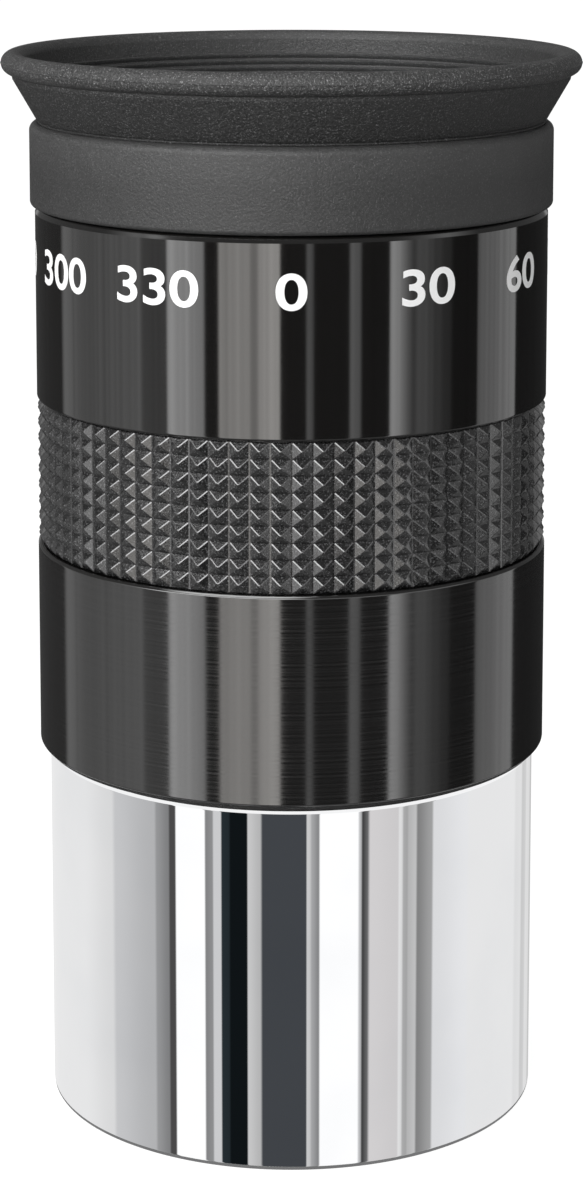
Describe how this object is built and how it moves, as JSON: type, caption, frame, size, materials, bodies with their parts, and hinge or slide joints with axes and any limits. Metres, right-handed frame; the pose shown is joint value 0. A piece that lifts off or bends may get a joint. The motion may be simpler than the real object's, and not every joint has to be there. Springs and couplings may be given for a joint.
{
  "type": "telescope eyepiece",
  "caption": "Telescope eyepiece with a chrome push-fit barrel, black housing, knurled rubber grip, cemented lens pairs inside and a fold-down rubber eyecup.",
  "frame": {"origin": "centre of the barrel's open lower end", "axes": "+Z along the optical axis towards the eye, any X across it"},
  "size_m": [0.0372, 0.0372, 0.0688],
  "materials": {
    "polished_chrome": "polished chrome plate on brass, matte black inside",
    "matte_black_metal": "matte black",
    "black_anodised": "gloss black anodised, fine turning marks",
    "grip_rubber": "satin moulded rubber",
    "crown_glass": "polished, anti-reflection coated",
    "flint_glass": "polished, anti-reflection coated",
    "eyecup_rubber": "fine-grained matte rubber"
  },
  "bodies": {
    "nosepiece": {"nosepiece_barrel": "polished_chrome", "field_stop_ring": "matte_black_metal"},
    "optics": {"field_lens_flint": "flint_glass", "field_lens_crown": "crown_glass", "lens_spacer": "matte_black_metal", "eye_lens_crown": "crown_glass", "eye_lens_flint": "flint_glass"},
    "housing": {"housing": "black_anodised", "grip_ring": "grip_rubber", "lens_lock_ring": "matte_black_metal", "eyecup_collar": "eyecup_rubber", "eyecup_flare": "eyecup_rubber"},
    "eyecup_rim": {"eyecup_rim": "eyecup_rubber"}
  },
  "joints": [
    {"name": "housing_lift", "type": "slide", "parent": "nosepiece", "child": "optics", "axis": [0, 0, 1], "range_m": [0, 0.006]},
    {"name": "housing_turn", "type": "hinge", "parent": "optics", "child": "housing", "pos_m": [0, 0, 0.0234], "axis": [0, 0, 1], "range_deg": [0, 2880]},
    {"name": "eyecup_fold", "type": "slide", "parent": "housing", "child": "eyecup_rim", "axis": [0, 0, -1], "range_m": [0, 0.0077], "deforming": ["eyecup_flare"]}
  ],
  "couplings": [
    {"joint": "housing_lift", "follows": "housing_turn", "m_per_rad": 0.00011936}
  ]
}
